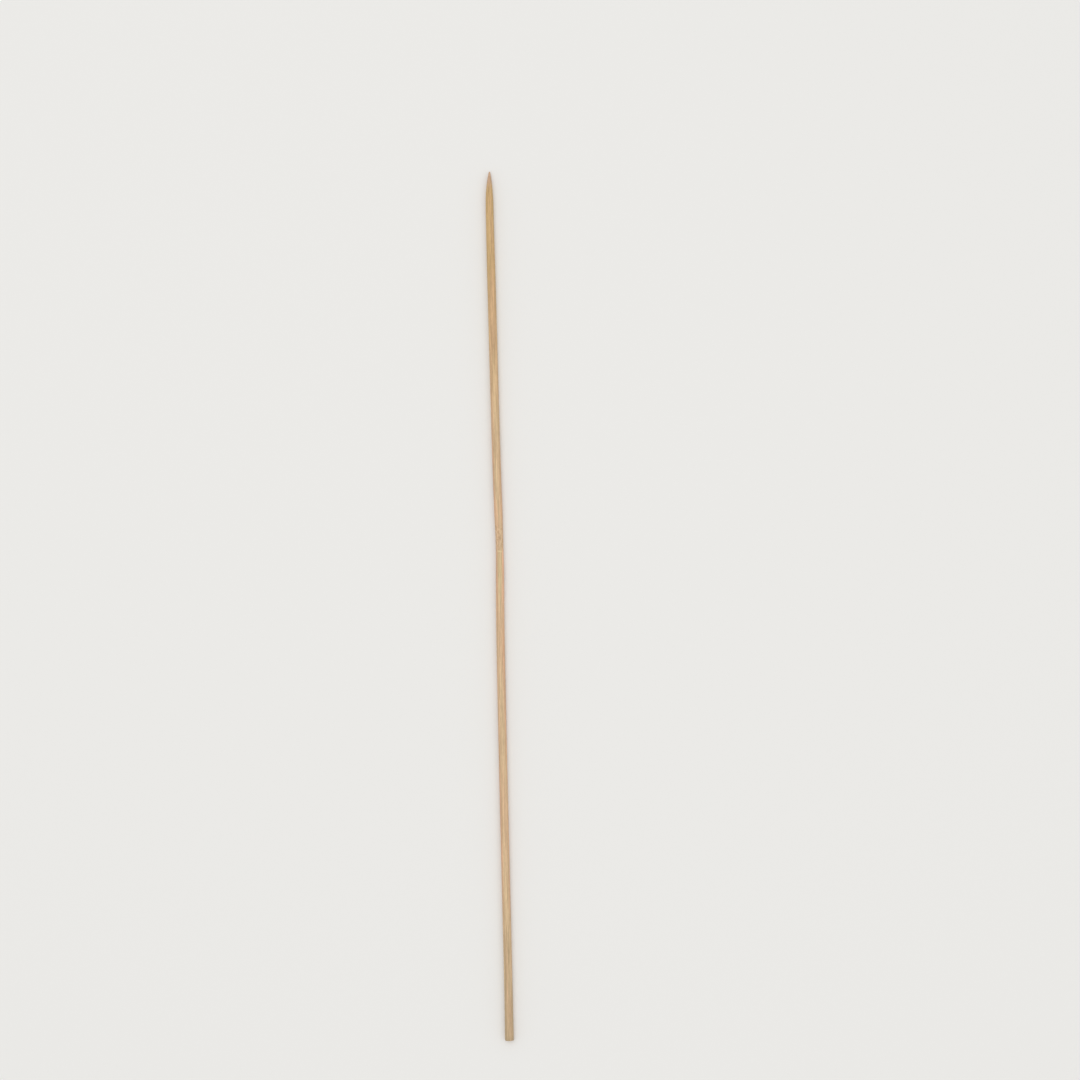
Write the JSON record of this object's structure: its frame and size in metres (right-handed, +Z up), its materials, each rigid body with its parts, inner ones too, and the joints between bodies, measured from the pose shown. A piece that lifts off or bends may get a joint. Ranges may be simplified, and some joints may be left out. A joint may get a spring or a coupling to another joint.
{
  "type": "bamboo skewer",
  "caption": "Long thin round bamboo stick with one end ground to a point, a square sawn butt and a knuckle where it narrows and bends slightly.",
  "frame": {"origin": "under the middle of the lying stick's outline, on the surface that it rests on", "axes": "+Y along the stick towards its point, +X to the right seen from above, +Z up out of its bark side"},
  "size_m": [0.0036, 0.3, 0.0028],
  "materials": {
    "bamboo": "plain tumbled bamboo, satin, with fine lengthwise fibres"
  },
  "bodies": {
    "root": {"skewer": "bamboo"}
  },
  "joints": []
}
